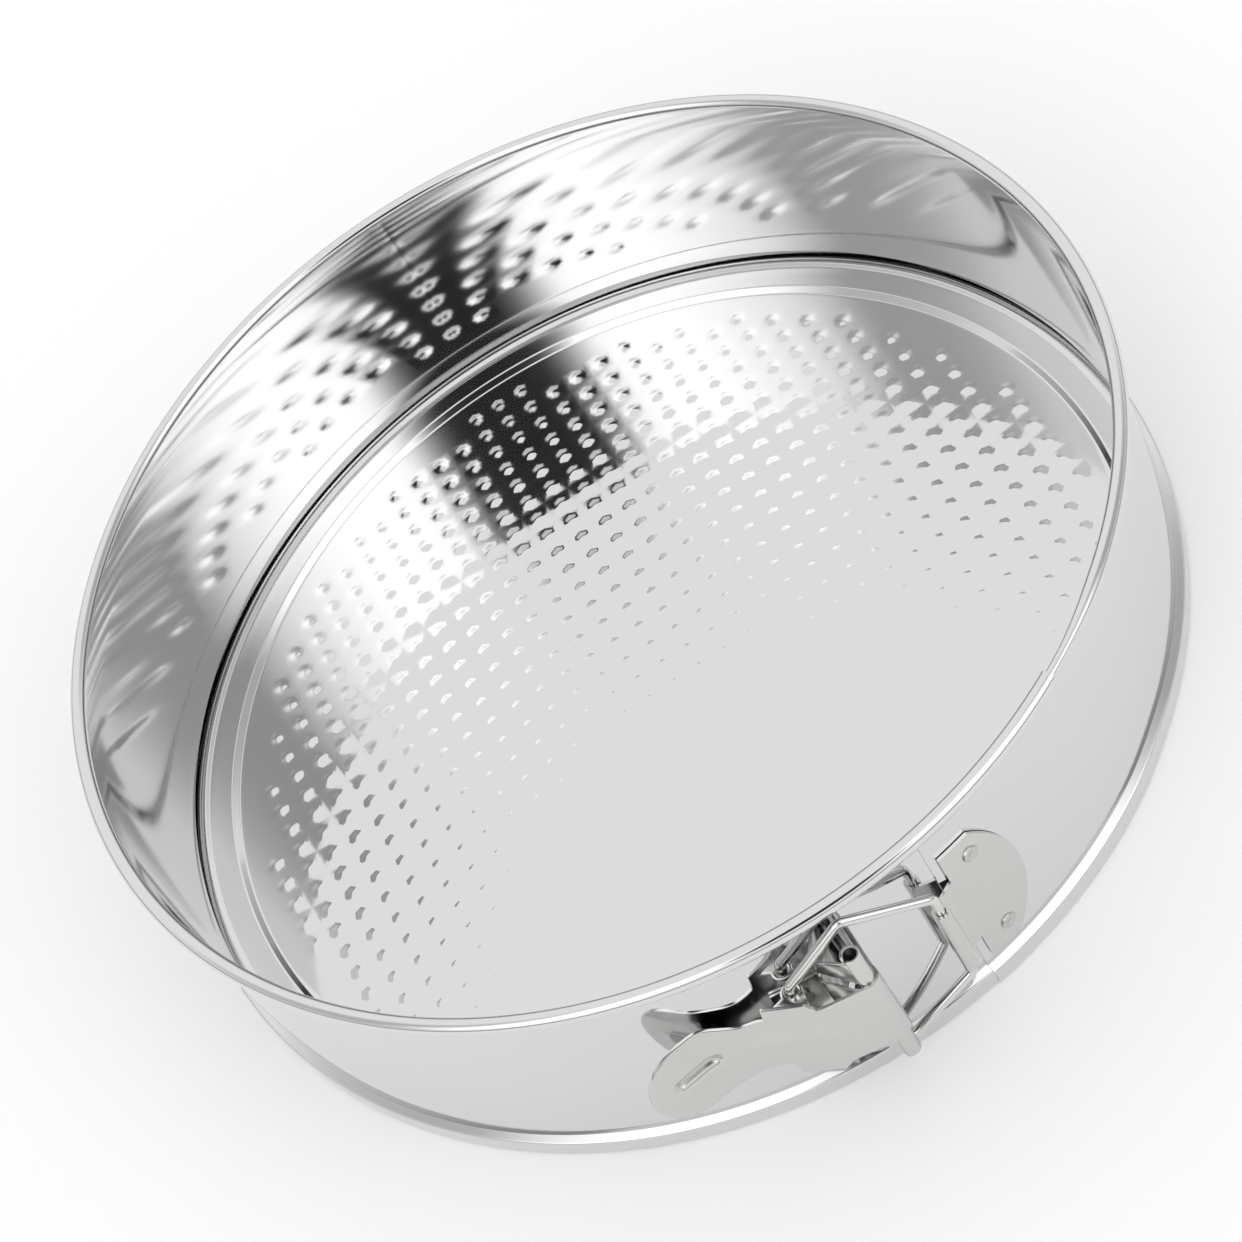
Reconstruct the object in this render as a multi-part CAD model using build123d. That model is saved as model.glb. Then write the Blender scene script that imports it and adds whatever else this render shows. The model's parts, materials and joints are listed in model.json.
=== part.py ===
from build123d import *
import math
import os

# Springform cake tin: a lapped tinplate band that snaps round a loose base and is
# drawn tight by an over-centre lever and a wire bail.
# Origin at the centre of the resting face, +Z up, the latch on the -Y side, the lever
# on the -X side of the latch. Millimetres and degrees. Places on the latch are given as
# a distance along the wall from the lever's pivot, + towards the catch, and a reach
# outside the wall's outer face.

# ---- driving dimensions -------------------------------------------------------------
# band
BAND_RADIUS = 130.0       # inner radius of the wall
BAND_HEIGHT = 65.0
BAND_SHEET = 0.5
BEAD_RADIUS = 2.0         # outer radius of the hollow bead round the top edge
BEAD_WRAP = 250.0         # how far the bead is rolled
GROOVE_DEPTH = 2.0        # how far the foot of the wall stands out to take the base
GROOVE_HEIGHT = 4.5
SHOULDER_HEIGHT = 2.4
LIP_WIDTH = 1.9           # inward lip that carries the base
LAP_FROM = 24.1           # the strip is double between these places along the wall
LAP_TO = 82.0

# base
BASE_SHEET = 0.6
BASE_FIT = 0.3            # radial play between base and groove
BASE_LIFT = 0.2           # play between base and lip
RIM_WIDTH = 3.6           # raised bead round the edge of the base
RIM_RISE = 1.2
FLANGE_WIDTH = 6.5
STEP_WIDTH = 1.5          # slope from the flange down to the panel

# latch
LATCH_HEIGHT = 32.0       # mid-height of the latch above the resting face
LATCH_SHEET = 0.8
KNUCKLE_SHEET = 0.7
PIVOT_REACH = 8.0
PIVOT_RADIUS = 2.3        # outside of the bracket's knuckle
KNUCKLE_HALF = 19.0       # end of the knuckle from the latch's mid-height
KNUCKLE_WRAP = 315.0
LEG_HALF = 7.5            # half-width of the bracket's leg
LEG_PLAY = 0.7
RUNNING_FIT = 0.1         # radial clearance of each hinge
PLATE_GAP = 0.25          # between the catch plate and the band it is clinched to
FOOT_GAP = 0.1            # between the bracket's foot and the band
FOOT_FROM = -19.4         # ends of the foot along the wall
FOOT_TO = -8.2
FOOT_PLAY = 1.1           # between the foot's edges and the lever's ears
FOLD_LENGTH = 1.4         # overlap of a folded tongue or leg with the plate it springs from
FOLD_LIFT = 0.1

# wire bail
WIRE_RADIUS = 1.2
WIRE_BEND = 2.5           # bend radius along the middle of the wire
BAIL_HALF = 26.0          # half-width at its widest, the middle bends
BAIL_SPREAD_AT = 0.455    # where the middle bends lie along its length
BAIL_END_GAP = 1.9        # from an ear to the middle of the wire's end
CATCH_ALONG = 20.3        # catch barrel
CATCH_REACH = 5.3
BARREL_TOP = 10.0         # ends of the barrel, above and below the latch's mid-height
BARREL_BOTTOM = 13.5
BARREL_WRAP = 285.0
BAIL_TURN_GAP = 2.0       # from the barrel's lower end to the bail's corner

# lever
EAR_ALONG = -14.5         # ear holes
EAR_REACH = 3.1
EAR_HALF = 13.1           # outer faces of the ears from the mid-height
EAR_RADIUS = 2.6
EAR_PLAY = 0.4            # radial play of the wire in the ear holes
EAR_ROOT = (0.03, 0.72)   # how far along the web's outer run an ear is joined to it
ROLL_WRAP = 262.0         # how far the lever's roll goes round the knuckle
HOOK_OVERLAP = 28.0       # how far it reaches past the knuckle's side where the leg passes
WEB_HALF = 11.5
WAIST_HALF = 9.3
PADDLE_HALF = 12.8
PADDLE_ROUND = 2.0        # from the widest place of the paddle's tip to its arc
LEVER_LENGTH = 53.5
WEB_BEND = 9.0            # inside radius of the web's bends
BEND_AT = (-11.6, 9.3)    # the web's middle line: along the wall and reach
WAIST_AT = (-24.4, 3.6)
PALM_AT = (-37.4, 2.3)
TIP_AT = (-51.4, 10.2)

# catch plate
PLATE_ALONG = 26.2        # its straight edge
PLATE_TOP = 18.9          # its corners above and below the latch's mid-height
PLATE_BOTTOM = 22.6
PLATE_SHORT = 8.5         # width at its upper and lower edges
PLATE_WIDTH = 16.8

# rivets
RIVET_RADIUS = 1.3
RIVET_HEAD_RADIUS = 2.4
RIVET_HEAD = 0.9
RIVET_TAIL = 0.6
RIVET_HOLE_PLAY = 0.15
RIVET_SEAT = 0.02         # between a rivet's head and the plate under it
CATCH_RIVET_SPREAD = 14.7
CATCH_RIVET_INSET = 6.9   # from the plate's straight edge
FOOT_RIVET_SPREAD = 6.5

# ---- places worked out from them -----------------------------------------------------
WALL_OUT = BAND_RADIUS + BAND_SHEET
LAP_OUT = WALL_OUT + BAND_SHEET
GROOVE_RADIUS = BAND_RADIUS + GROOVE_DEPTH
OVER = 2 * BAND_RADIUS    # longer than anything it has to cut


def polar(radius, bearing):
    """Point at a radius and bearing about the tin's axis."""
    angle = math.radians(bearing)
    return (radius * math.cos(angle), radius * math.sin(angle))


def bearing_of(along):
    """Bearing of a place along the wall."""
    return -90 + math.degrees(along / WALL_OUT)


def by_wall(along, reach):
    return polar(WALL_OUT + reach, bearing_of(along))


PIVOT = by_wall(0, PIVOT_REACH)
CATCH = by_wall(CATCH_ALONG, CATCH_REACH)
EAR = by_wall(EAR_ALONG, EAR_REACH)
FOOT_MID = (FOOT_FROM + FOOT_TO) / 2
FOOT_HALF = EAR_HALF - LATCH_SHEET - FOOT_PLAY
PLATE_MID = (PLATE_TOP - PLATE_BOTTOM) / 2


def tangent(centre, radius, point, side):
    """Bearing, seen from a circle's centre, of its tangent through a point."""
    dx, dy = point[0] - centre[0], point[1] - centre[1]
    turn = math.degrees(math.acos(radius / math.hypot(dx, dy)))
    return math.degrees(math.atan2(dy, dx)) + side * turn


def on_circle(centre, radius, bearing):
    x, y = polar(radius, bearing)
    return (centre[0] + x, centre[1] + y)


def between(start, end, share):
    return tuple(a + (b - a) * share for a, b in zip(start, end))


def sheet(edges, thickness):
    """Face of one sheet thickness that follows a path on both sides."""
    return make_face(offset(Wire(edges), amount=thickness / 2, side=Side.BOTH).edges())


def turned(section, start=0.0, sweep=360.0):
    """Solid of revolution about Z of a section drawn as radius and height."""
    return Rot(0, 0, start) * revolve(Plane.XZ * section, Axis.Z, sweep)


def arc_block(inner, outer, low, high, start, end):
    """Curved block between two radii, two heights and two bearings."""
    ring = Cylinder(outer, high - low) - Cylinder(inner, OVER)
    corners = [polar(OVER, start + (end - start) * k / 4) for k in range(5)]
    wedge = extrude(make_face(Polyline((0, 0), *corners, close=True)), amount=high - low)
    return Pos(0, 0, (high + low) / 2) * ring & Pos(0, 0, low) * wedge


def spool(radius, near, far, bearing, height):
    """Cylinder that points outwards along a bearing, between two distances."""
    body = Pos(0, 0, (near + far) / 2) * Cylinder(radius, far - near)
    return Rot(0, 0, bearing) * Pos(0, 0, height) * Rot(0, 90, 0) * body


def rivet(bearing, height, outer):
    """Rivet from inside the band out through the plate whose outer face is given."""
    near, far = BAND_RADIUS - RIVET_SEAT, outer + RIVET_SEAT
    return (spool(RIVET_RADIUS, near - RIVET_TAIL, far + RIVET_HEAD, bearing, height)
            + spool(RIVET_HEAD_RADIUS, far, far + RIVET_HEAD, bearing, height)
            + spool(RIVET_HEAD_RADIUS, near - RIVET_TAIL, near, bearing, height))


def rivet_hole(bearing, height, play):
    return spool(RIVET_RADIUS + play, BAND_RADIUS - BEAD_RADIUS, LAP_OUT + BEAD_RADIUS, bearing, height)


def catch_rivet_places():
    """Bearing and height of the two rivets in the catch plate."""
    bearing = bearing_of(PLATE_ALONG + CATCH_RIVET_INSET)
    middle = LATCH_HEIGHT + PLATE_MID
    return [(bearing, middle + side * CATCH_RIVET_SPREAD) for side in (-1, 1)]


def foot_rivet_places():
    """Bearing and height of the two rivets in the bracket's foot."""
    bearing = bearing_of(FOOT_MID)
    return [(bearing, LATCH_HEIGHT + side * FOOT_RIVET_SPREAD) for side in (-1, 1)]


# ---- band -----------------------------------------------------------------------------
def wall_path():
    """Lip, groove, shoulder, wall and top bead, along the middle of the sheet."""
    half = BAND_SHEET / 2
    foot = [
        (GROOVE_RADIUS - LIP_WIDTH, half),
        (GROOVE_RADIUS + half, half),
        (GROOVE_RADIUS + half, GROOVE_HEIGHT),
        (BAND_RADIUS + half, GROOVE_HEIGHT + SHOULDER_HEIGHT),
        (BAND_RADIUS + half, BAND_HEIGHT - BEAD_RADIUS),
    ]
    roll = BEAD_RADIUS - half
    centre = (BAND_RADIUS + half + roll, BAND_HEIGHT - BEAD_RADIUS)
    bead = CenterArc(centre, roll, 180, -BEAD_WRAP)
    return FilletPolyline(*foot, radius=BAND_SHEET).edges() + bead.edges()


def lap_path():
    """Outer layer of the lap, outside the groove, shoulder and wall of the inner one."""
    line = WALL_OUT + BAND_SHEET / 2
    rise = BAND_SHEET / 4
    return FilletPolyline(
        (line + GROOVE_DEPTH, BAND_SHEET),
        (line + GROOVE_DEPTH, GROOVE_HEIGHT + rise),
        (line, GROOVE_HEIGHT + SHOULDER_HEIGHT + rise),
        (line, BAND_HEIGHT - 2 * BEAD_RADIUS - rise),
        radius=BAND_SHEET,
    ).edges()


def make_band():
    start, end = bearing_of(LAP_FROM), bearing_of(LAP_TO)
    ring = turned(sheet(wall_path(), BAND_SHEET))
    ring += turned(sheet(lap_path(), BAND_SHEET), start, end - start)
    for bearing, height in catch_rivet_places() + foot_rivet_places():
        ring -= rivet_hole(bearing, height, RIVET_HOLE_PLAY)
    return ring


# ---- base -----------------------------------------------------------------------------
def make_base():
    """Dished plate: rim bead, flat flange, step and panel, all one sheet."""
    half = BASE_SHEET / 2
    edge = GROOVE_RADIUS - BASE_FIT - half
    low = BAND_SHEET + BASE_LIFT + half
    inner = edge - RIM_WIDTH
    flange = inner - FLANGE_WIDTH
    path = FilletPolyline(
        (0, half),
        (flange - STEP_WIDTH, half),
        (flange, low + RIM_RISE / 2),
        (inner, low + RIM_RISE / 2),
        (inner + RIM_WIDTH / 4, low + RIM_RISE),
        (edge - RIM_WIDTH / 4, low + RIM_RISE),
        (edge, low),
        radius=BASE_SHEET,
    )
    half_plane = Pos(OVER / 2, 0) * Rectangle(OVER, OVER)
    return turned(sheet(path.edges(), BASE_SHEET) & half_plane)


# ---- catch side -----------------------------------------------------------------------
def make_catch_plate():
    """D-shaped plate, a tongue off its straight edge and a barrel rolled at its end."""
    inner = LAP_OUT + PLATE_GAP
    outer = inner + LATCH_SHEET
    upper, lower = (PLATE_SHORT, PLATE_TOP), (PLATE_SHORT, -PLATE_BOTTOM)
    outline = Polyline(lower, (0, -PLATE_BOTTOM), (0, PLATE_TOP), upper)
    bow = ThreePointArc(upper, (PLATE_WIDTH, PLATE_MID), lower)
    face = make_face(outline.edges() + bow.edges())
    away = Plane(origin=(0, 0, LATCH_HEIGHT), x_dir=(0, 1, 0), z_dir=(1, 0, 0))
    shell = Cylinder(outer, BAND_HEIGHT) - Cylinder(inner, OVER)
    punch = Rot(0, 0, bearing_of(PLATE_ALONG)) * extrude(away * face, amount=OVER)
    plate = punch & Pos(0, 0, BAND_HEIGHT / 2) * shell

    roll = WIRE_RADIUS + RUNNING_FIT + KNUCKLE_SHEET / 2
    reach = BAND_SHEET + PLATE_GAP + LATCH_SHEET / 2
    root = by_wall(PLATE_ALONG + FOLD_LENGTH, reach)
    fold = by_wall(PLATE_ALONG, reach + FOLD_LIFT)
    meet = tangent(CATCH, roll, fold, 1)
    rise = Polyline(root, fold, on_circle(CATCH, roll, meet))
    curl = CenterArc(CATCH, roll, meet, BARREL_WRAP)
    tongue = extrude(sheet(rise.edges() + curl.edges(), KNUCKLE_SHEET), amount=BARREL_TOP + BARREL_BOTTOM)
    plate += Pos(0, 0, LATCH_HEIGHT - BARREL_BOTTOM) * tongue
    for bearing, height in catch_rivet_places():
        plate -= rivet_hole(bearing, height, RUNNING_FIT)
    return plate


def make_catch_rivets():
    outer = LAP_OUT + PLATE_GAP + LATCH_SHEET
    return [rivet(bearing, height, outer) for bearing, height in catch_rivet_places()]


# ---- lever side -----------------------------------------------------------------------
def make_bracket():
    """Foot on the band, a leg off it and the knuckle that the lever turns on."""
    inner = WALL_OUT + FOOT_GAP
    outer = inner + KNUCKLE_SHEET
    low, high = LATCH_HEIGHT - FOOT_HALF, LATCH_HEIGHT + FOOT_HALF
    foot = arc_block(inner, outer, low, high, bearing_of(FOOT_FROM), bearing_of(FOOT_TO))
    roll = PIVOT_RADIUS - KNUCKLE_SHEET / 2
    reach = FOOT_GAP + KNUCKLE_SHEET / 2
    root = by_wall(FOOT_TO - FOLD_LENGTH, reach)
    fold = by_wall(FOOT_TO, reach + FOLD_LIFT)
    meet = tangent(PIVOT, roll, fold, 1)
    rise = Polyline(root, fold, on_circle(PIVOT, roll, meet)).edges()
    leg = extrude(sheet(rise, KNUCKLE_SHEET), amount=LEG_HALF, both=True)
    tube = sheet(CenterArc(PIVOT, roll, meet, KNUCKLE_WRAP).edges(), KNUCKLE_SHEET)
    knuckle = extrude(tube, amount=KNUCKLE_HALF, both=True)
    bracket = foot + Pos(0, 0, LATCH_HEIGHT) * (leg + knuckle)
    for bearing, height in foot_rivet_places():
        bracket -= rivet_hole(bearing, height, RUNNING_FIT)
    return bracket


def make_bracket_rivets():
    outer = WALL_OUT + FOOT_GAP + KNUCKLE_SHEET
    return [rivet(bearing, height, outer) for bearing, height in foot_rivet_places()]


def lever_outline():
    """Outline of the lever from outside, as distance left of the pivot and height."""
    waist = by_wall(*WAIST_AT)[0]
    top = [
        (OVER, WEB_HALF),
        (EAR[0] + EAR_RADIUS, WEB_HALF),
        (EAR[0] + EAR_RADIUS, EAR_HALF),
        (EAR[0] - 2 * EAR_RADIUS, EAR_HALF),
        (EAR[0] - 3 * EAR_RADIUS, WEB_HALF),
        (waist - EAR_RADIUS, WAIST_HALF),
        (PADDLE_HALF - LEVER_LENGTH + PADDLE_ROUND, PADDLE_HALF),
    ]
    low = [(x, -z) for x, z in reversed(top)]
    tip = ThreePointArc(top[-1], (-LEVER_LENGTH, 0), low[0])
    close = Line(low[-1], top[0])
    return make_face(Polyline(*top).edges() + tip.edges() + Polyline(*low).edges() + close.edges())


def make_ear():
    """Tab bent in from the web's edge, with the hole for the wire's end."""
    x, y = EAR
    roots = [between(by_wall(*BEND_AT), by_wall(*WAIST_AT), share) for share in EAR_ROOT]
    tab = make_face(Polyline((x + EAR_RADIUS, y), *roots, (x - EAR_RADIUS, y), close=True))
    tab += Pos(x, y) * Circle(EAR_RADIUS)
    tab -= Pos(x, y) * Circle(WIRE_RADIUS + EAR_PLAY)
    return extrude(tab, amount=LATCH_SHEET)


def make_lever():
    """Web with a roll round the knuckle, two holed ears and a rounded finger tip."""
    bend = by_wall(*BEND_AT)
    roll = PIVOT_RADIUS + RUNNING_FIT + KNUCKLE_SHEET / 2
    meet = tangent(PIVOT, roll, bend, 1)
    line = [on_circle(PIVOT, roll, meet), bend, by_wall(*WAIST_AT), by_wall(*PALM_AT), by_wall(*TIP_AT)]
    web = FilletPolyline(*line, radius=WEB_BEND).edges()
    hook = CenterArc(PIVOT, roll, meet, 360 - meet % 360 + HOOK_OVERLAP).edges()
    loop = CenterArc(PIVOT, roll, meet, ROLL_WRAP).edges()
    body = extrude(sheet(web, LATCH_SHEET), amount=OVER, both=True)
    body += extrude(sheet(hook, KNUCKLE_SHEET), amount=WEB_HALF, both=True)
    loop_length = WEB_HALF - LEG_HALF - LEG_PLAY
    for low in (-WEB_HALF, LEG_HALF + LEG_PLAY):
        body += Pos(0, 0, low) * extrude(sheet(loop, KNUCKLE_SHEET), amount=loop_length)
    body &= extrude(Plane.XZ * lever_outline(), amount=OVER, both=True)
    for low in (-EAR_HALF, EAR_HALF - LATCH_SHEET):
        body += Pos(0, 0, low) * make_ear()
    return Pos(0, 0, LATCH_HEIGHT) * body


# ---- bail -----------------------------------------------------------------------------
def make_bail():
    """Wire from one ear to the other, through the catch barrel; its ends stop by the ears."""
    end = EAR_HALF + BAIL_END_GAP
    spread = between(EAR, CATCH, BAIL_SPREAD_AT)
    turn = BARREL_BOTTOM + BAIL_TURN_GAP
    side = [(*EAR, end), (*spread, BAIL_HALF), (*CATCH, turn)]
    path = FilletPolyline(*side, *[(x, y, -z) for x, y, z in reversed(side)], radius=WIRE_BEND)
    wire = sweep(Plane(path @ 0, z_dir=path % 0) * Circle(WIRE_RADIUS), path=path)
    return Pos(0, 0, LATCH_HEIGHT) * wire


# ---- write one file for each piece -----------------------------------------------------
os.makedirs("parts", exist_ok=True)
pieces = {
    "ring_band": make_band(),
    "base_plate": make_base(),
    "catch_plate": make_catch_plate(),
    "catch_rivets": Compound(make_catch_rivets()),
    "lever_bracket": make_bracket(),
    "bracket_rivets": Compound(make_bracket_rivets()),
    "latch_lever": make_lever(),
    "wire_bail": make_bail(),
}
for name, shape in pieces.items():
    export_step(shape, f"parts/{name}.step")
print("pivot", PIVOT, "catch", CATCH, "ear", EAR)
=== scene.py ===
import json
import math

import bmesh
import bpy
from mathutils import Matrix, Vector


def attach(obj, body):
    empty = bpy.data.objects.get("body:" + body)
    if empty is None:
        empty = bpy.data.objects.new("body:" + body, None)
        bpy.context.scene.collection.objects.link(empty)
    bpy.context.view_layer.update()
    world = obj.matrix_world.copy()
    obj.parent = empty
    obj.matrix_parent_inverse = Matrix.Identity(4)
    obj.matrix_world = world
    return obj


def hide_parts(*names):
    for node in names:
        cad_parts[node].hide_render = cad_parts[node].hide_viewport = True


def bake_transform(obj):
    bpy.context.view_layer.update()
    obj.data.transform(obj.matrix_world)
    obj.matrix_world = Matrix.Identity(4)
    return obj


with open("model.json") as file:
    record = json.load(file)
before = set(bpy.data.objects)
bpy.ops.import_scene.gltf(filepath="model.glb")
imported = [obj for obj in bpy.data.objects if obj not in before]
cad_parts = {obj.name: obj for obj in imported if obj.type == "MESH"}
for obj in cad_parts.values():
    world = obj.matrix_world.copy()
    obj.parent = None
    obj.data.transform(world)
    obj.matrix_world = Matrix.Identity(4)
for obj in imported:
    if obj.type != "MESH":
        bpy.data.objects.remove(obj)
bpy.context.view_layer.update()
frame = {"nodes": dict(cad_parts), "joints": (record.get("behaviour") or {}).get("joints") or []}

# Springform tin of tinplate: a lapped band with a rolled bead, a dimpled loose base and an
# over-centre latch. Shapes are drawn in millimetres and turned to metres when they are kept.
MM = 0.001
WALL_RADIUS = 130.0        # inner face of the wall
WALL_TOP = 65.0
SHEET = 0.5                # tinplate of the band
BEAD_RADIUS = 2.0          # rolled top edge, outside
BEAD_WRAP = 250.0
LAP_BEAD_RADIUS = 1.25     # the outer strip's bead, squeezed to fit inside the inner strip's
GROOVE_RADIUS = 132.0
GROOVE_HEIGHT = 4.9
SHOULDER_HEIGHT = 1.0
LIP_WIDTH = 1.9
GROOVE_MIDDLE = 2.6        # height at which the two rounded runs of the groove meet
FOOT_ROUNDING = 0.6
LAP_GAP = 0.05             # air between the lapped sheets
STRIP_STEP = 1.5           # degrees between the band's cross-sections
BACK = 90.0                # bearing of the point opposite the latch, where the band bends
INNER_END = -59.3          # bearing of the inner strip's end
OUTER_END = -79.4          # bearing of the outer strip's end
JOGGLE_START = -47.0       # the outer strip steps out by one sheet between these bearings
JOGGLE_END = -57.6
BASE_SHEET = 0.6
DIMPLE_PITCH = 7.4
DIMPLE_HEIGHT = 0.5
DIMPLE_FOOT = 2.9          # radius at which a dimple has flattened out
DIMPLE_LIMIT = 113.0       # the furthest dimple's distance from the centre
DIMPLE_ORIGIN = (-0.25, 1.55)
PANEL_RADIUS = 118.6       # plain ring outside the dimples starts here
FLANGE_HEIGHT = 2.2        # upper face of the flange, inside the wall
RIM_HEIGHT = FLANGE_HEIGHT + BASE_SHEET
BASE_PLAY = 0.4            # between the base's edge and the groove

# latch: the two pivots are the CAD's own, the rest is measured from them or along the wall
PIVOT = Vector(next(j["pos_m"] for j in frame["joints"] if j["name"] == "lever_swing")) / MM
CATCH = Vector(next(j["pos_m"] for j in frame["joints"] if j["name"] == "bail_swing")) / MM
LATCH_HEIGHT = PIVOT.z
WALL_OUT = WALL_RADIUS + SHEET
LATCH_SHEET = 0.8
LATCH_EASE = 0.12          # rounding of the lever's sheared edges
KNUCKLE_RADIUS = 1.95      # middle of the bracket's rolled sheet
KNUCKLE_HALF = 21.5
KNUCKLE_WRAP = 320.0
ROLL_RADIUS = 2.8          # middle of the lever's roll
ROLL_HOOK = 125.0          # how far the lever's roll goes round the knuckle
LEVER_BEND = (-11.6, 9.3)  # corners of the lever's middle line: along the wall, out from it
LEVER_WAIST = (-24.4, 3.6)
LEVER_PALM = (-37.4, 2.3)
LEVER_TIP = (-51.4, 10.2)
LEVER_CORNER = 9.0
LEVER_LENGTH = 53.5
LEVER_WIDTHS = [           # x along the lever, negative left of the pivot, and its half-width there
    (5.0, 11.5), (-12.0, 11.5), (-12.8, 12.9), (-14.2, 14.3), (-22.5, 14.3), (-23.1, 9.9),
    (-27.5, 9.3), (-38.0, 12.8), (-41.5, 12.9),
]
EAR_AT = (-14.5, 3.1)      # middle of the ears' holes: along the wall, out from it
EAR_HALF = 13.1
EAR_RADIUS = 2.6
EAR_HOLE = 1.6
WIRE_RADIUS = 1.2
BAIL_HALF = 26.0
BAIL_SPREAD_AT = 0.455     # its widest place, as a share of the way from the ears to the barrel
BAIL_CORNER = 2.4
BARREL_BOTTOM = 13.5
BRACKET_SHEET = 0.7
BRACKET_EASE = 0.1
BRACKET_FOLD = (-8.2, 0.55)
BRACKET_FOOT = (-19.4, 11.2, 0.45)  # where the foot starts, its length, its distance from the wall
LEG_HALF = 7.5             # the bracket's leg, which runs behind the lever's roll
FOOT_HALF = 11.2
WING = (12.2, 20.5, 16.2)  # the leaf beyond the roll: inner edge, outer edge at knuckle and at wall
CLINCH_ALONG = 33.1
CLINCH_HEIGHTS = (-16.55, 12.85)
CLINCH_HEAD = 0.6
CLINCH_TURN = 25.0         # of the dents, about the clinches' own axes
PLATE_OUT = 1.57           # outer face of the catch plate, out from WALL_OUT
PLATE_STACK = 2.07         # from there through to the wall's inner face
SMUDGE_SIZE = 22.0         # of the blotches in a metal's gloss

# studio: directions in degrees, azimuth from +X and elevation from the floor
TENT_SIDES = [             # azimuth, elevation, full within, gone beyond, change of brightness
    (-138, 42, 6, 32, 1.0), (-45, 42, 6, 32, 1.0), (180, 42, 4, 34, -0.42), (0, 42, 4, 34, -0.5),
]
TENT_GAP = (-91, 47, 8, 19)
GAP_DARKNESS = 0.97
HEM_LEVEL = 0.4            # brightness at the tent's hem, against 1 higher up
HEM_RISE = (0.02, 0.38)    # where it starts and stops rising, as the sine of the elevation
FLOOR_GLOW = 0.09          # lifts the paper towards white


# ---- small tools ----------------------------------------------------------------------
def polar(radius, bearing, z=0.0):
    """Place at a distance from the tin's axis, at a bearing in degrees from +X."""
    angle = math.radians(bearing)
    return Vector((radius * math.cos(angle), radius * math.sin(angle), z))


def smooth_step(value, start, end):
    """0 before start, 1 after end, easing in and out between them."""
    share = min(1.0, max(0.0, (value - start) / (end - start)))
    return share * share * (3 - 2 * share)


def arc(centre, radius, start, sweep, steps):
    """Points of an arc in the (radius, height) plane."""
    points = []
    for k in range(steps + 1):
        angle = math.radians(start + sweep * k / steps)
        points.append((centre[0] + radius * math.cos(angle), centre[1] + radius * math.sin(angle)))
    return points


def rounded(points, radius, steps=5):
    """The same open outline, flat or in space, with its inner corners rounded."""
    path = [Vector(points[0])]
    for before, corner, after in zip(points, points[1:], points[2:]):
        corner = Vector(corner)
        into = (corner - Vector(before)).normalized()
        out = (Vector(after) - corner).normalized()
        reach = radius * math.tan(into.angle(out) / 2)
        first, last = corner - into * reach, corner + out * reach
        for k in range(steps + 1):
            share = k / steps
            ease = first.lerp(corner, share).lerp(corner.lerp(last, share), share)
            path.append(ease)
    path.append(Vector(points[-1]))
    return path


def draw(bm, points):
    """Open chain of edges through 3-D points; gives its vertices and edges."""
    chain = [bm.verts.new(p) for p in points]
    return chain + [bm.edges.new(pair) for pair in zip(chain, chain[1:])]


def keep(name, bm, body, material, replaces=(), sharp=40.0):
    """Turns a finished bmesh in millimetres into a piece, riding on a body if one is named."""
    bmesh.ops.scale(bm, vec=(MM, MM, MM), verts=bm.verts)
    mesh = bpy.data.meshes.new(name)
    bm.to_mesh(mesh)
    bm.free()
    for face in mesh.polygons:
        face.use_smooth = True
    mesh.set_sharp_from_angle(angle=math.radians(sharp))
    mesh.materials.append(material)
    piece = bpy.data.objects.new(name, mesh)
    bpy.context.scene.collection.objects.link(piece)
    if body:
        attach(piece, body)
    if replaces:
        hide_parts(*replaces)
    return piece


def by_wall(along, reach, z=0.0):
    """A place along the wall from the pivot, + towards the catch, and outside its outer face."""
    return polar(WALL_OUT + reach, -90 + math.degrees(along / WALL_OUT), z)


def lathe(bm, points, steps=24, centre=(0, 0, 0)):
    """Turned form about a vertical line, from radius and height points; gives its vertices."""
    before = set(bm.verts)
    line = draw(bm, [(centre[0] + r, centre[1], centre[2] + z) for r, z in points])
    bmesh.ops.spin(bm, geom=line, cent=centre, axis=(0, 0, 1), dvec=(0, 0, 0),
                   angle=math.tau, steps=steps, use_merge=True)
    bmesh.ops.remove_doubles(bm, verts=[v for v in bm.verts if v not in before], dist=1e-4)
    return [v for v in bm.verts if v not in before]


def finish_sheet(bm, thickness, rounding):
    """Mesh of a sheet with its thickness laid on both sides and its sheared edges eased."""
    mesh = bpy.data.meshes.new("sheet")
    bm.to_mesh(mesh)
    bm.free()
    holder = bpy.data.objects.new("sheet", mesh)
    bpy.context.scene.collection.objects.link(holder)
    wall = holder.modifiers.new("wall", "SOLIDIFY")
    wall.thickness = thickness
    wall.offset = 0.0
    wall.use_even_offset = True
    ease = holder.modifiers.new("ease", "BEVEL")
    ease.width = rounding
    ease.segments = 2
    ease.limit_method = "ANGLE"
    ease.angle_limit = math.radians(50)
    bpy.context.view_layer.update()
    made = bmesh.new()
    made.from_object(holder, bpy.context.evaluated_depsgraph_get())
    bpy.data.objects.remove(holder)
    bmesh.ops.recalc_face_normals(made, faces=made.faces)
    return made


# ---- materials ------------------------------------------------------------------------
def linear(code):
    """sRGB hex to the linear colour that shaders take."""
    values = [int(code[k:k + 2], 16) / 255 for k in (1, 3, 5)]
    return [v / 12.92 if v <= 0.04045 else ((v + 0.055) / 1.055) ** 2.4 for v in values] + [1.0]


def add(tree, kind, settings=None, sockets=None):
    """One node: settings are its own properties, sockets take a value or another socket."""
    node = tree.nodes.new(kind)
    for key, value in (settings or {}).items():
        setattr(node, key, value)
    for key, value in (sockets or {}).items():
        if isinstance(value, bpy.types.NodeSocket):
            tree.links.new(value, node.inputs[key])
        else:
            node.inputs[key].default_value = value
    return node


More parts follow.
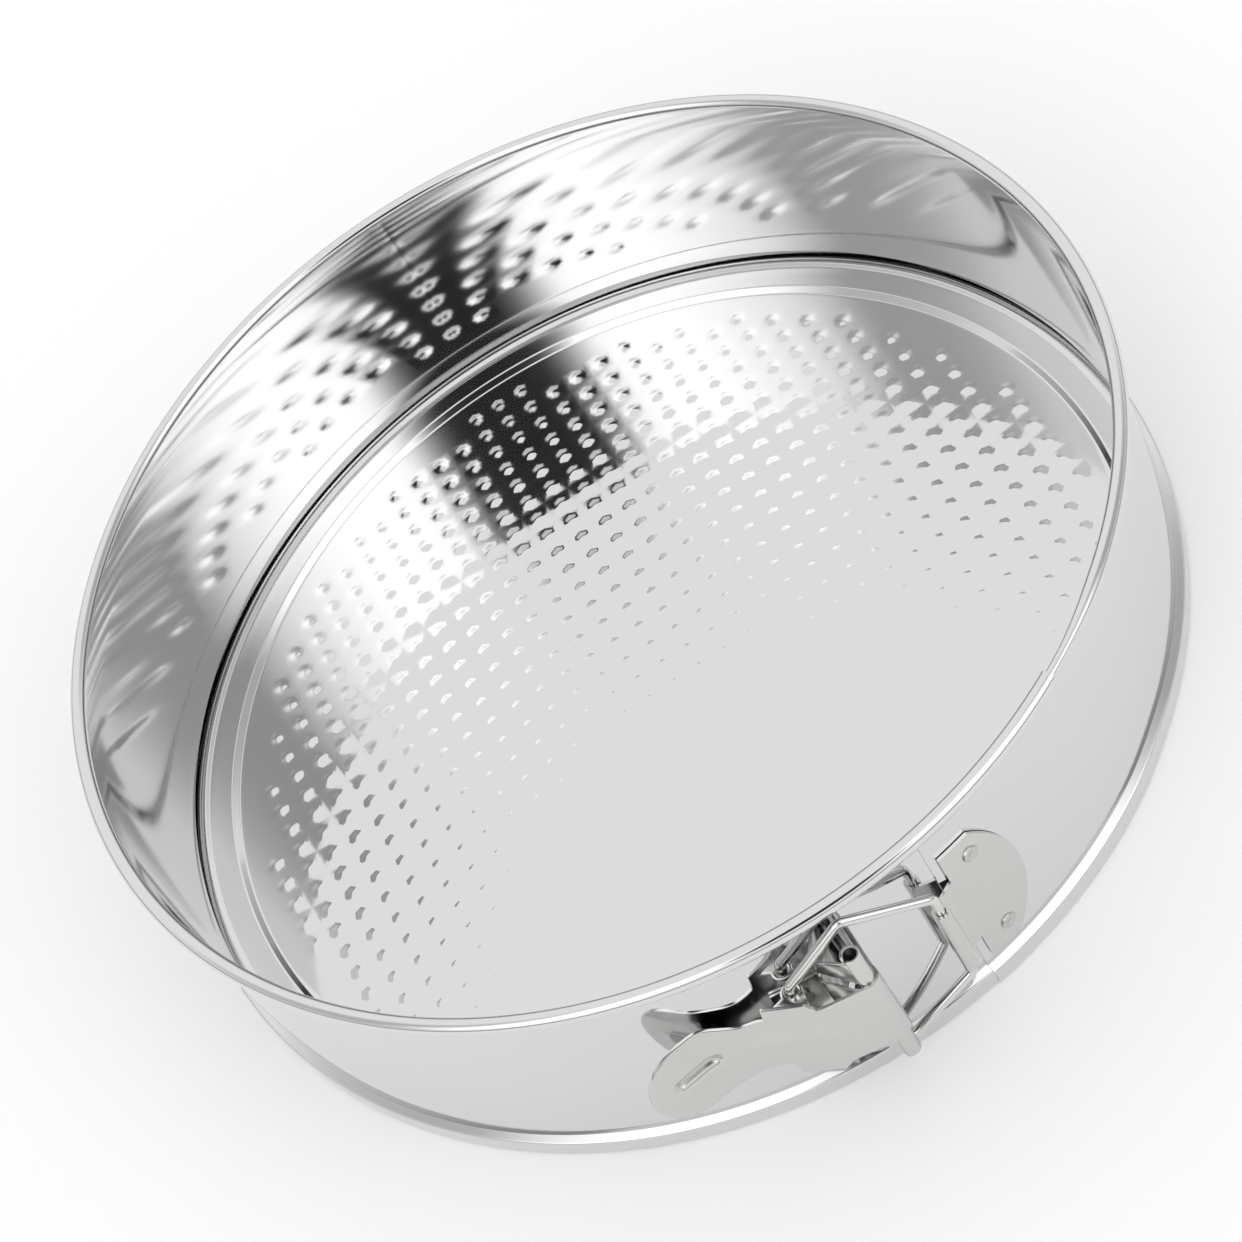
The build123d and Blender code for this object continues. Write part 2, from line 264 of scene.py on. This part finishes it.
def blank(name):
    """An empty node material with its object coordinates in millimetres."""
    material = bpy.data.materials.new(name)
    material.use_nodes = True
    tree = material.node_tree
    tree.nodes.clear()
    place = add(tree, "ShaderNodeTexCoord").outputs["Object"]
    mm = add(tree, "ShaderNodeVectorMath", {"operation": "SCALE"}, {0: place, "Scale": 1 / MM})
    return material, tree, mm.outputs[0]


def noise(tree, mm, size, detail=2.0, stretch=(1, 1, 1)):
    """Noise whose blotches are about size millimetres across."""
    at = add(tree, "ShaderNodeVectorMath", {"operation": "MULTIPLY"},
             {0: mm, 1: tuple(s / size for s in stretch)}).outputs[0]
    cloud = add(tree, "ShaderNodeTexNoise", {}, {"Vector": at, "Scale": 1.0, "Detail": detail})
    return cloud.outputs["Fac"]


def spread(tree, value, low, high, start=0.3, end=0.7):
    """Stretches a noise between two values."""
    return add(tree, "ShaderNodeMapRange", {}, {
        "Value": value, "From Min": start, "From Max": end, "To Min": low, "To Max": high}).outputs[0]


def metal(name, shade, rough, waviness, wave_size, grain=None, smudge=0.02):
    """Bare metal: long soft waves, faint smudges in the gloss, and a stretched grain if given."""
    material, tree, mm = blank(name)
    smudges = noise(tree, mm, SMUDGE_SIZE, 3.0)
    roughness = spread(tree, smudges, rough - smudge, rough + smudge)
    height = noise(tree, mm, wave_size, 1.0)
    normal = add(tree, "ShaderNodeBump", {}, {
        "Height": height, "Distance": waviness * MM, "Strength": 1.0}).outputs[0]
    if grain:
        size, depth, stretch = grain
        scratch = noise(tree, mm, size, 4.0, stretch)
        normal = add(tree, "ShaderNodeBump", {}, {
            "Height": scratch, "Distance": depth * MM, "Strength": 1.0, "Normal": normal}).outputs[0]
    shader = add(tree, "ShaderNodeBsdfPrincipled", {}, {
        "Base Color": linear(shade), "Metallic": 1.0, "Roughness": roughness, "Normal": normal})
    add(tree, "ShaderNodeOutputMaterial", {}, {"Surface": shader.outputs[0]})
    return material


# Tinplate: steel sheet with a bright flow-melted tin coat; mirrors softly, with slow waves.
TINPLATE = metal("bright_tinplate", "#dcdcdc", 0.06, 0.06, 45.0)
# The base is the same sheet, pressed, so its gloss is broken a little more.
PRESSED_TINPLATE = metal("pressed_tinplate", "#dcdcdc", 0.08, 0.03, 45.0)
# Nickel-plated latch stampings: satin, with a fine stretched grain.
PLATED = metal("nickel_plated_steel", "#d0d0ce", 0.18, 0.03, 12.0,
               grain=(1.2, 0.004, (1, 1, 5)), smudge=0.06)
# Rivets: clinched plated steel, a shade duller than the stampings.
RIVET_STEEL = metal("clinched_rivet_steel", "#c4c4c2", 0.24, 0.05, 2.0, smudge=0.05)
# Drawn wire: bright and nearly smooth.
BRIGHT_WIRE = metal("bright_drawn_wire", "#dadad8", 0.12, 0.01, 8.0, smudge=0.03)


# ---- band -----------------------------------------------------------------------------
def band_profile():
    """Inner face of the strip, from the lip under the base to the end of the bead."""
    meeting = (GROOVE_RADIUS, GROOVE_MIDDLE)
    foot = [(GROOVE_RADIUS - LIP_WIDTH, SHEET), (GROOVE_RADIUS, SHEET), meeting]
    shoulder_top = GROOVE_HEIGHT + SHOULDER_HEIGHT
    shoulder = [
        meeting, (GROOVE_RADIUS, GROOVE_HEIGHT),
        (WALL_RADIUS, shoulder_top), (WALL_RADIUS, shoulder_top + 4.0),
    ]
    wall = [(WALL_RADIUS, height) for height in (20.0, 32.0, 44.0, 56.0)]
    centre = (WALL_RADIUS + BEAD_RADIUS, WALL_TOP - BEAD_RADIUS)
    bead = arc(centre, BEAD_RADIUS, 180, -BEAD_WRAP, 20)
    return [*rounded(foot, FOOT_ROUNDING), *rounded(shoulder, FOOT_ROUNDING)[1:], *wall, *bead]


def step_out(bm):
    """Sets the outer strip one sheet outside the inner one where they lap."""
    bead = Vector((WALL_RADIUS + BEAD_RADIUS, WALL_TOP - BEAD_RADIUS))
    shrink = LAP_BEAD_RADIUS / BEAD_RADIUS
    for vert in bm.verts:
        bearing = math.degrees(math.atan2(vert.co.y, vert.co.x))
        share = smooth_step(-bearing, -JOGGLE_START, -JOGGLE_END)
        radius, height = math.hypot(vert.co.x, vert.co.y), vert.co.z
        beside_wall = radius > WALL_RADIUS + 1e-3 and height > bead.y - 2 * BEAD_RADIUS
        if height > bead.y - 1e-3 or beside_wall:
            squeeze = 1 - share * (1 - shrink)
            moved = bead + (Vector((radius, height)) - bead) * squeeze
            vert.co = polar(moved.x, bearing, moved.y)
        else:
            vert.co = polar(radius + share * (SHEET + LAP_GAP), bearing, height)


def strip(start, end):
    """Inner face of half of the band between two bearings, not yet thickened."""
    bm = bmesh.new()
    line = draw(bm, [(r, 0, z) for r, z in band_profile()])
    turn = Matrix.Rotation(math.radians(start), 3, "Z")
    bmesh.ops.rotate(bm, cent=(0, 0, 0), matrix=turn, verts=bm.verts)
    sweep = end - start
    bmesh.ops.spin(bm, geom=line, cent=(0, 0, 0), axis=(0, 0, 1), dvec=(0, 0, 0),
                   angle=math.radians(sweep), steps=round(abs(sweep) / STRIP_STEP), use_merge=False)
    bmesh.ops.remove_doubles(bm, verts=bm.verts, dist=1e-4)
    return bm


def thicken(bm, thickness):
    """Gives an open shell its thickness on the side away from its inner face."""
    bmesh.ops.recalc_face_normals(bm, faces=bm.faces)
    sample = min(bm.faces, key=lambda f: abs(f.calc_center_median().z - LATCH_HEIGHT))
    centre = sample.calc_center_median()
    if sample.normal.dot(Vector((centre.x, centre.y, 0))) > 0:
        bmesh.ops.reverse_faces(bm, faces=bm.faces)
    bmesh.ops.solidify(bm, geom=bm.faces[:], thickness=thickness)
    bmesh.ops.recalc_face_normals(bm, faces=bm.faces)


def make_band():
    """Two strips that lap at the latch and meet at the back; the inner one rides on the ring."""
    left = strip(INNER_END, BACK - 360)
    thicken(left, SHEET)
    keep("band_left", left, "ring", TINPLATE, ["ring_band"])
    right = strip(OUTER_END, BACK)
    step_out(right)
    thicken(right, SHEET)
    piece = keep("band_right", right, None, TINPLATE, ["ring_band"])
    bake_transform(piece)


# ---- base -----------------------------------------------------------------------------
def base_profile():
    """Upper face of the base outside its dimpled panel, as radius and height."""
    path = [
        (PANEL_RADIUS, BASE_SHEET), (119.8, BASE_SHEET), (121.3, FLANGE_HEIGHT),
        (127.8, FLANGE_HEIGHT), (128.8, RIM_HEIGHT), (130.5, RIM_HEIGHT),
        (GROOVE_RADIUS - BASE_PLAY, 1.0),
    ]
    return rounded(path, 0.8, 4)


def dimple_cell(bm):
    """One square of sheet with its pressed dimple."""
    rings = [0.0, 0.7, 1.4, 2.1, DIMPLE_FOOT, DIMPLE_PITCH / 2]
    points = []
    for radius in rings:
        swell = 0.5 + 0.5 * math.cos(math.pi * min(1.0, radius / DIMPLE_FOOT))
        points.append((radius, BASE_SHEET + DIMPLE_HEIGHT * swell))
    lathe(bm, points, 8, (*DIMPLE_ORIGIN, 0))
    for vert in bm.verts:
        x, y = vert.co.x - DIMPLE_ORIGIN[0], vert.co.y - DIMPLE_ORIGIN[1]
        if abs(abs(x) - abs(y)) < 1e-3 and math.hypot(x, y) > DIMPLE_PITCH / 2 - 1e-3:
            vert.co.x = DIMPLE_ORIGIN[0] + math.copysign(DIMPLE_PITCH / 2, x)
            vert.co.y = DIMPLE_ORIGIN[1] + math.copysign(DIMPLE_PITCH / 2, y)


def repeat(bm, step, count):
    """Adds count copies of the whole mesh on each side of it, a step apart."""
    first = bm.verts[:] + bm.edges[:] + bm.faces[:]
    for side in (-1, 1):
        for k in range(1, count + 1):
            made = bmesh.ops.duplicate(bm, geom=first)["geom"]
            verts = [g for g in made if isinstance(g, bmesh.types.BMVert)]
            bmesh.ops.translate(bm, vec=Vector(step) * (side * k), verts=verts)
    bmesh.ops.remove_doubles(bm, verts=bm.verts, dist=1e-3)


def cell_distance(face):
    """How far from the tin's centre the dimple is that a face belongs to."""
    middle = face.calc_center_median()
    steps = [round((middle[k] - DIMPLE_ORIGIN[k]) / DIMPLE_PITCH) for k in (0, 1)]
    return math.hypot(*(DIMPLE_ORIGIN[k] + steps[k] * DIMPLE_PITCH for k in (0, 1)))


def make_base():
    """Panel of small pressed dimples on a square grid, with a step, a flange and a rim."""
    bm = bmesh.new()
    dimple_cell(bm)
    count = int(DIMPLE_LIMIT / DIMPLE_PITCH) + 1
    repeat(bm, (DIMPLE_PITCH, 0, 0), count)
    repeat(bm, (0, DIMPLE_PITCH, 0), count)
    outside = [face for face in bm.faces if cell_distance(face) > DIMPLE_LIMIT]
    bmesh.ops.delete(bm, geom=outside, context="FACES")
    line = draw(bm, [(r, 0, z) for r, z in base_profile()])
    bmesh.ops.spin(bm, geom=line, cent=(0, 0, 0), axis=(0, 0, 1), dvec=(0, 0, 0),
                   angle=math.tau, steps=240, use_merge=True)
    gap = [e for e in bm.edges if e.is_boundary and e.verts[0].co.xy.length < PANEL_RADIUS + 1e-2]
    bmesh.ops.triangle_fill(bm, edges=gap, use_beauty=True, use_dissolve=False, normal=(0, 0, 1))
    bmesh.ops.recalc_face_normals(bm, faces=bm.faces)
    if sum(f.normal.z for f in bm.faces) < 0:
        bmesh.ops.reverse_faces(bm, faces=bm.faces)
    bmesh.ops.solidify(bm, geom=bm.faces[:], thickness=BASE_SHEET)
    bmesh.ops.recalc_face_normals(bm, faces=bm.faces)
    keep("dimpled_base", bm, "base", PRESSED_TINPLATE, ["base_plate"])


# ---- rivets ---------------------------------------------------------------------------
def make_clinches():
    """Low clinched rivets: a button with a shallow dent struck across it, a shank and a tail."""
    bm = bmesh.new()
    head, tail = CLINCH_HEAD, -PLATE_STACK
    outline = [
        (0.0, head * 0.55), (0.45, head * 0.62), (0.95, head), (1.5, head), (1.95, head * 0.72),
        (2.15, 0.0), (1.3, 0.0), (1.3, tail), (2.1, tail), (1.6, tail - 0.45), (0.0, tail - 0.5),
    ]
    bearing = -90 + math.degrees(CLINCH_ALONG / WALL_OUT)
    outward = Matrix.Rotation(math.radians(bearing), 3, "Z") @ Matrix.Rotation(math.radians(90), 3, "Y")
    turn = outward @ Matrix.Rotation(math.radians(CLINCH_TURN), 3, "Z")
    for height in CLINCH_HEIGHTS:
        made = lathe(bm, outline, 24)
        for vert in made:
            if vert.co.z > 0.1:
                struck = smooth_step(-abs(vert.co.x + 0.5 * vert.co.y), -0.9, -0.1)
                vert.co.z -= 0.3 * struck * head
        bmesh.ops.rotate(bm, cent=(0, 0, 0), matrix=turn, verts=made)
        place = by_wall(CLINCH_ALONG, PLATE_OUT, LATCH_HEIGHT + height)
        bmesh.ops.translate(bm, vec=place, verts=made)
    bmesh.ops.recalc_face_normals(bm, faces=bm.faces)
    keep("plate_clinches", bm, "catch_end", RIVET_STEEL, ["catch_rivets"])


# ---- lever ----------------------------------------------------------------------------
def tangent(centre, radius, point):
    """Bearing, from a circle's centre, of its tangent through a point."""
    way = point - centre
    return math.degrees(math.atan2(way.y, way.x) + math.acos(radius / way.xy.length))


def roll_arc(radius, start, sweep, steps):
    """Points of an arc about the lever's pivot, at latch height 0."""
    points = arc((PIVOT.x, PIVOT.y), radius, start, sweep, steps)
    return [Vector((x, y, 0)) for x, y in points]


def lever_path():
    """Middle line of the lever's sheet, from the roll's free edge to the finger tip."""
    run = [by_wall(*corner) for corner in (LEVER_BEND, LEVER_WAIST, LEVER_PALM, LEVER_TIP)]
    meet = tangent(PIVOT, ROLL_RADIUS, run[0])
    curl = roll_arc(ROLL_RADIUS, meet + ROLL_HOOK, -ROLL_HOOK, 24)
    return curl + rounded([curl[-1], *run], LEVER_CORNER, 12)[1:]


def lever_half(x):
    """Half-width of the lever where its middle line is at x."""
    tip_start, tip_half = LEVER_WIDTHS[-1]
    if x < tip_start:
        share = (x - tip_start) / (-LEVER_LENGTH - tip_start)
        return tip_half * math.sqrt(max(0.0, 1 - share ** 2.2))
    for (x0, h0), (x1, h1) in zip(LEVER_WIDTHS, LEVER_WIDTHS[1:]):
        if x >= x1:
            return h0 + (h1 - h0) * smooth_step(-x, -x0, -x1)
    return tip_half


def press(x, across):
    """Pressed depth, in (-) or out (+): a groove in the tip, its raised sides, a ridge up the web."""
    side = abs(across)
    groove = smooth_step(-x, 34.5, 37.5) * smooth_step(x, -48.5, -45.5) * smooth_step(-side, -2.4, -0.9)
    ridge = smooth_step(-x, 9.0, 14.0) * smooth_step(x, -34.0, -26.0) * smooth_step(-side, -6.0, 0.0)
    dish = smooth_step(-x, 33.0, 40.0) * smooth_step(side, 8.5, 12.5)
    return 0.5 * ridge + 0.35 * dish - 1.3 * groove


def lever_sheet():
    """Flat grid bent along the lever's middle line, cut to width and pressed; finer at the tip."""
    path = lever_path()
    reach = [0.0]
    for a, b in zip(path, path[1:]):
        reach.append(reach[-1] + (b - a).length)
    bm = bmesh.new()
    columns, rows, crowding = 170, 48, 1.35
    bmesh.ops.create_grid(bm, x_segments=columns, y_segments=rows, size=0.5)
    for vert in bm.verts:
        at = (1 - (0.5 - vert.co.x) ** crowding) * reach[-1]
        k = next((i for i in range(1, len(reach)) if reach[i] >= at - 1e-9), len(reach) - 1)
        step = (at - reach[k - 1]) / (reach[k] - reach[k - 1])
        middle = path[k - 1].lerp(path[k], step)
        along = (path[k] - path[k - 1]).normalized()
        outward = Vector((-along.y, along.x, 0))
        across = 2 * vert.co.y * lever_half(middle.x)
        vert.co = middle + outward * press(middle.x, across) + Vector((0, 0, across))
    bmesh.ops.remove_doubles(bm, verts=bm.verts, dist=0.02)
    return bm


def ear_tab(bm, ear):
    """Tab bent in from the web's edge, with the hole for the wire's end."""
    bend, waist = by_wall(*LEVER_BEND), by_wall(*LEVER_WAIST)
    lobe = [ear + polar(EAR_RADIUS, 180 - 210 * k / 12) for k in range(13)]
    outline = [bend.lerp(waist, 0.72), *lobe, bend.lerp(waist, 0.05)]
    rim = [bm.verts.new(p) for p in outline]
    edges = [bm.edges.new(pair) for pair in zip(rim, rim[1:] + rim[:1])]
    hole = bmesh.ops.create_circle(bm, cap_ends=False, segments=20, radius=EAR_HOLE)["verts"]
    bmesh.ops.translate(bm, vec=ear, verts=hole)
    edges += list({e for v in hole for e in v.link_edges})
    bmesh.ops.triangle_fill(bm, edges=edges, use_beauty=True, use_dissolve=False, normal=(0, 0, 1))


def make_lever():
    """Web with a roll round the knuckle, a dished finger tip and two holed ears."""
    bm = finish_sheet(lever_sheet(), LATCH_SHEET, LATCH_EASE)
    tabs = bmesh.new()
    ear_tab(tabs, by_wall(*EAR_AT))
    tabs = finish_sheet(tabs, LATCH_SHEET, LATCH_EASE)
    level = EAR_HALF - LATCH_SHEET / 2
    for height in (-level, level):
        copy = bpy.data.meshes.new("tab")
        tabs.to_mesh(copy)
        before = set(bm.verts)
        bm.from_mesh(copy)
        bmesh.ops.translate(bm, vec=(0, 0, height), verts=[v for v in bm.verts if v not in before])
        bpy.data.meshes.remove(copy)
    tabs.free()
    bmesh.ops.translate(bm, vec=(0, 0, LATCH_HEIGHT), verts=bm.verts)
    keep("finger_lever", bm, "lever", PLATED, ["latch_lever"])


# ---- bracket --------------------------------------------------------------------------
def leaf(bm, path, low, high, high_end=None):
    """Strip of sheet along a path between two heights; high_end is the second one at its end."""
    start = [bm.verts.new(p + Vector((0, 0, low))) for p in path]
    edges = [bm.edges.new(pair) for pair in zip(start, start[1:])]
    made = bmesh.ops.extrude_edge_only(bm, edges=edges)["geom"]
    lifted = [g for g in made if isinstance(g, bmesh.types.BMVert)]
    bmesh.ops.translate(bm, vec=(0, 0, high - low), verts=lifted)
    if high_end is not None:
        last = min(lifted, key=lambda v: (v.co.xy - path[-1].xy).length)
        last.co.z = high_end


def make_bracket():
    """Leaf on the band whose edge is rolled into the knuckle that the lever turns on."""
    fold = by_wall(*BRACKET_FOLD)
    meet = tangent(PIVOT, KNUCKLE_RADIUS, fold)
    curl = roll_arc(KNUCKLE_RADIUS, meet, KNUCKLE_WRAP, 28)
    start, length, off = BRACKET_FOOT
    foot = [by_wall(start + length * k / 8, off) for k in range(9)]
    bm = bmesh.new()
    leaf(bm, curl, -KNUCKLE_HALF, KNUCKLE_HALF)
    leaf(bm, [curl[0], fold], -LEG_HALF, LEG_HALF)
    leaf(bm, foot, -FOOT_HALF, FOOT_HALF)
    inner, outer, outer_end = WING
    for side in (-1, 1):
        leaf(bm, [curl[0], fold], side * inner, side * outer, side * outer_end)
    bm = finish_sheet(bm, BRACKET_SHEET, BRACKET_EASE)
    bmesh.ops.translate(bm, vec=(0, 0, LATCH_HEIGHT), verts=bm.verts)
    keep("hinge_bracket", bm, "ring", PLATED, ["lever_bracket"])


# ---- bail -----------------------------------------------------------------------------
def wire_route():
    """Middle line of the bail: in at one ear, out to its bends, through the barrel and back."""
    ear = by_wall(*EAR_AT)
    catch = Vector((CATCH.x, CATCH.y, 0))
    widest = ear.lerp(catch, BAIL_SPREAD_AT)
    stops = (
        (ear, EAR_HALF - 2.5), (ear, EAR_HALF + 1.9),
        (widest, BAIL_HALF), (catch, BARREL_BOTTOM + 2.0),
    )
    half = [place + Vector((0, 0, height)) for place, height in stops]
    return rounded(half + [Vector((p.x, p.y, -p.z)) for p in reversed(half)], BAIL_CORNER, 8)


def make_bail():
    """Drawn wire, bent to a hexagon, through the catch barrel and into both ears."""
    points = wire_route()
    curve = bpy.data.curves.new("wire", "CURVE")
    curve.dimensions = "3D"
    line = curve.splines.new("POLY")
    line.points.add(len(points) - 1)
    for spot, place in zip(line.points, points):
        spot.co = (*place, 1)
    curve.bevel_depth = WIRE_RADIUS
    curve.bevel_resolution = 6
    curve.use_fill_caps = True
    wire = bpy.data.objects.new("wire", curve)
    bpy.context.scene.collection.objects.link(wire)
    bpy.context.view_layer.update()
    drawn = wire.evaluated_get(bpy.context.evaluated_depsgraph_get())
    bm = bmesh.new()
    bm.from_mesh(bpy.data.meshes.new_from_object(drawn))
    bpy.data.objects.remove(wire)
    bmesh.ops.remove_doubles(bm, verts=bm.verts, dist=1e-4)
    bmesh.ops.recalc_face_normals(bm, faces=bm.faces)
    bmesh.ops.translate(bm, vec=(0, 0, LATCH_HEIGHT), verts=bm.verts)
    keep("wire_hexagon", bm, "bail", BRIGHT_WIRE, ["wire_bail"])


# ---- studio ---------------------------------------------------------------------------
def ramp(tree, value, start, end, low, high):
    """Low before start, high after end, easing in and out between them."""
    return add(tree, "ShaderNodeMapRange", {"interpolation_type": "SMOOTHSTEP"}, {
        "Value": value, "From Min": start, "From Max": end, "To Min": low, "To Max": high}).outputs[0]


def tent_patch(tree, towards, azimuth, elevation, near, far):
    """1 within near degrees of a direction, 0 beyond far degrees."""
    a, e = math.radians(azimuth), math.radians(elevation)
    aim = (math.cos(a) * math.cos(e), math.sin(a) * math.cos(e), math.sin(e))
    cosine = add(tree, "ShaderNodeVectorMath", {"operation": "DOT_PRODUCT"}, {0: towards, 1: aim})
    return ramp(tree, cosine.outputs["Value"], math.cos(math.radians(far)),
                math.cos(math.radians(near)), 0.0, 1.0)


def arithmetic(tree, operation, *values):
    """One arithmetic node on values or sockets."""
    return add(tree, "ShaderNodeMath", {"operation": operation}, dict(enumerate(values))).outputs[0]


def make_floor():
    """Wide sheet of matt white paper under the tin."""
    bpy.ops.mesh.primitive_plane_add(size=6.0)
    floor = bpy.context.object
    floor.name = "floor"
    paper = bpy.data.materials.new("white_paper")
    paper.use_nodes = True
    shader = paper.node_tree.nodes["Principled BSDF"]
    shader.inputs["Base Color"].default_value = linear("#f4f4f4")
    shader.inputs["Roughness"].default_value = 0.9
    shader.inputs["Specular IOR Level"].default_value = 0.1
    shader.inputs["Emission Color"].default_value = linear("#ffffff")
    shader.inputs["Emission Strength"].default_value = FLOOR_GLOW
    floor.data.materials.append(paper)


def make_tent():
    """White light tent: bright to both sides of the front, dimmer left and right, a dark gap."""
    world = bpy.data.worlds.new("light_tent")
    bpy.context.scene.world = world
    world.use_nodes = True
    tree = world.node_tree
    tree.nodes.clear()
    towards = add(tree, "ShaderNodeTexCoord").outputs["Generated"]
    level = 1.0
    for azimuth, elevation, near, far, change in TENT_SIDES:
        share = tent_patch(tree, towards, azimuth, elevation, near, far)
        level = arithmetic(tree, "MULTIPLY_ADD", share, change, level)
    gap = tent_patch(tree, towards, *TENT_GAP)
    left_over = arithmetic(tree, "MULTIPLY_ADD", gap, -GAP_DARKNESS, 1.0)
    level = arithmetic(tree, "MULTIPLY", level, left_over)
    rise = add(tree, "ShaderNodeSeparateXYZ", {}, {"Vector": towards}).outputs["Z"]
    level = arithmetic(tree, "MULTIPLY", level, ramp(tree, rise, *HEM_RISE, HEM_LEVEL, 1.0))
    glow = add(tree, "ShaderNodeBackground", {}, {"Color": linear("#ffffff"), "Strength": level})
    add(tree, "ShaderNodeOutputWorld", {}, {"Surface": glow.outputs[0]})


def make_camera():
    """Long lens from the latch side, 48 degrees up, rolled by 34 degrees."""
    aim = Vector((-3.19, -6.71, 32.5)) * MM
    distance, azimuth, elevation, roll = 0.76136, -89.0, 48.24, 33.83
    a, e = math.radians(azimuth), math.radians(elevation)
    back = Vector((math.cos(a) * math.cos(e), math.sin(a) * math.cos(e), math.sin(e)))
    camera = bpy.data.objects.new("camera", bpy.data.cameras.new("camera"))
    camera.data.lens = 91.3
    camera.data.sensor_width = 36.0
    camera.location = aim + back * distance
    turn = (-back).to_track_quat("-Z", "Y").to_matrix() @ Matrix.Rotation(math.radians(-roll), 3, "Z")
    camera.rotation_euler = turn.to_euler()
    bpy.context.scene.collection.objects.link(camera)
    bpy.context.scene.camera = camera
    bpy.context.scene.view_settings.view_transform = "Standard"


make_band()
make_base()
make_lever()
make_bracket()
make_bail()
make_clinches()
for node, material in (("catch_plate", PLATED), ("bracket_rivets", RIVET_STEEL)):
    for place in frame["nodes"][node].material_slots:
        place.material = material
make_floor()
make_tent()
make_camera()
